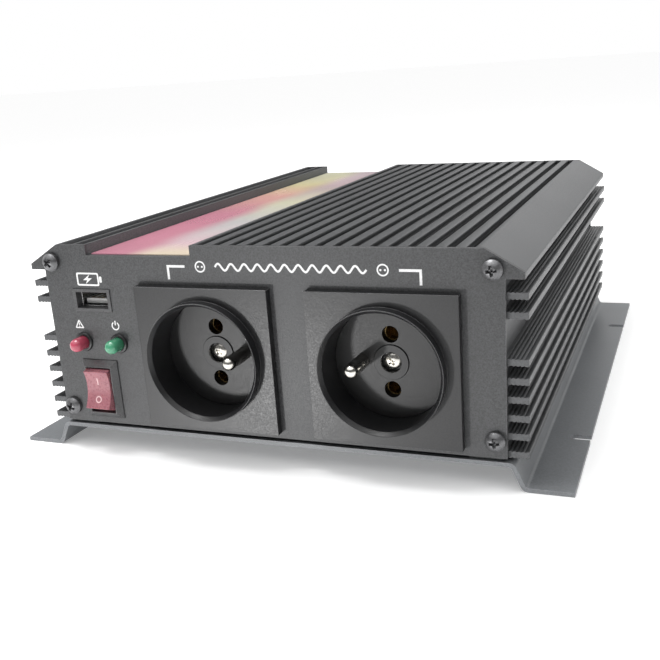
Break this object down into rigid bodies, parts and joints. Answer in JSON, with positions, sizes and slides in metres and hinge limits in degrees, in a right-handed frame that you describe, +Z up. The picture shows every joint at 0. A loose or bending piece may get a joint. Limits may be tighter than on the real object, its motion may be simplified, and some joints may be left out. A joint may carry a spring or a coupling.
{
  "type": "power inverter",
  "caption": "Box-shaped mains inverter in a finned housing on mounting feet, with recessed earthed outlets, a rocker switch, status lamps, a charging port, a rear fan and battery posts.",
  "frame": {"origin": "middle of the bounding box's underside, on the surface that the feet stand on", "axes": "+Z up, -Y towards the side with the outlets, +X to the right as seen from the outlet side"},
  "size_m": [0.209, 0.2632, 0.0782],
  "materials": {
    "housing_paint": "satin",
    "base_paint": "satin",
    "panel_paint": "satin",
    "label_film": "gloss",
    "dark_screw_steel": "satin",
    "zinc_steel": "satin",
    "outlet_plastic": "satin",
    "insert_plastic": "satin",
    "nickel_pin": "polished",
    "contact_brass": "satin",
    "switch_plastic": "satin",
    "rocker_plastic": "gloss",
    "red_lens": "gloss",
    "green_lens": "gloss",
    "black_plastic": "satin",
    "white_plastic": "satin",
    "circuit_board": "satin",
    "brown_insulation": "satin",
    "blue_insulation": "satin",
    "green_insulation": "satin",
    "ferrite": "matte",
    "winding_tape": "satin",
    "capacitor_sleeve": "gloss",
    "film_box": "satin",
    "coated_powder": "satin",
    "copper": "satin",
    "silicone_pad": "matte",
    "bare_aluminium": "satin",
    "fuse_plastic": "gloss",
    "grille_wire": "polished",
    "red_moulding": "satin",
    "black_moulding": "satin",
    "post_brass": "satin"
  },
  "bodies": {
    "case": {"housing": "housing_paint", "base_plate": "base_paint", "front_panel": "panel_paint", "rear_panel": "panel_paint", "top_label": "label_film", "panel_screws": "dark_screw_steel", "small_screws": "zinc_steel", "left_outlet_body": "outlet_plastic", "right_outlet_body": "outlet_plastic", "left_outlet_insert": "insert_plastic", "right_outlet_insert": "insert_plastic", "left_earth_pin": "nickel_pin", "right_earth_pin": "nickel_pin", "outlet_screws": "nickel_pin", "left_contacts": "contact_brass", "right_contacts": "contact_brass", "switch_frame": "switch_plastic", "switch_terminals": "contact_brass", "fault_lamp": "red_lens", "power_lamp": "green_lens", "lamp_collars": "black_plastic", "lamp_board": "circuit_board", "usb_frame": "black_plastic", "usb_shell": "nickel_pin", "usb_tongue": "white_plastic", "usb_board": "circuit_board", "main_board": "circuit_board", "standoffs": "contact_brass", "control_board": "circuit_board", "live_wires": "brown_insulation", "neutral_wires": "blue_insulation", "earth_wires": "green_insulation", "transformer_cores": "ferrite", "transformer_windings": "winding_tape", "input_capacitors": "capacitor_sleeve", "bus_capacitors": "black_moulding", "film_capacitor": "film_box", "choke_core": "coated_powder", "choke_winding": "copper", "transistors": "black_plastic", "insulating_strips": "silicone_pad", "clamp_bars": "bare_aluminium", "fuses": "fuse_plastic", "fan_frame": "black_plastic", "fan_stator": "copper", "fan_grille": "grille_wire", "fan_screws": "dark_screw_steel", "positive_insulator": "red_moulding", "negative_insulator": "black_moulding", "inner_insulators": "black_plastic", "post_studs": "post_brass", "stud_nuts": "post_brass", "busbars": "copper", "ground_stud": "post_brass"},
    "rocker": {"rocker": "rocker_plastic"},
    "fan": {"fan_rotor": "black_plastic"},
    "positive_washer": {"positive_washer": "post_brass"},
    "positive_knob": {"positive_knob": "red_moulding"},
    "negative_washer": {"negative_washer": "post_brass"},
    "negative_knob": {"negative_knob": "black_moulding"}
  },
  "joints": [
    {"name": "rocker_tilt", "type": "hinge", "parent": "case", "child": "rocker", "pos_m": [-0.0655, -0.1219, 0.0244], "axis": [1, 0, 0], "range_deg": [0, 12]},
    {"name": "fan_spin", "type": "hinge", "parent": "case", "child": "fan", "pos_m": [-0.042, 0.0966, 0.0398], "axis": [0, 1, 0], "continuous": true},
    {"name": "positive_slide", "type": "slide", "parent": "case", "child": "positive_washer", "axis": [0, 1, 0], "range_m": [0, 0.005]},
    {"name": "positive_turn", "type": "hinge", "parent": "positive_washer", "child": "positive_knob", "pos_m": [0.048, 0.1206, 0.0428], "axis": [0, 1, 0], "range_deg": [0, 1440]},
    {"name": "negative_slide", "type": "slide", "parent": "case", "child": "negative_washer", "axis": [0, 1, 0], "range_m": [0, 0.005]},
    {"name": "negative_turn", "type": "hinge", "parent": "negative_washer", "child": "negative_knob", "pos_m": [0.012, 0.1206, 0.0428], "axis": [0, 1, 0], "range_deg": [0, 1440]}
  ],
  "couplings": [
    {"joint": "positive_slide", "follows": "positive_turn", "m_per_rad": 0.00019894},
    {"joint": "negative_slide", "follows": "negative_turn", "m_per_rad": 0.00019894}
  ]
}
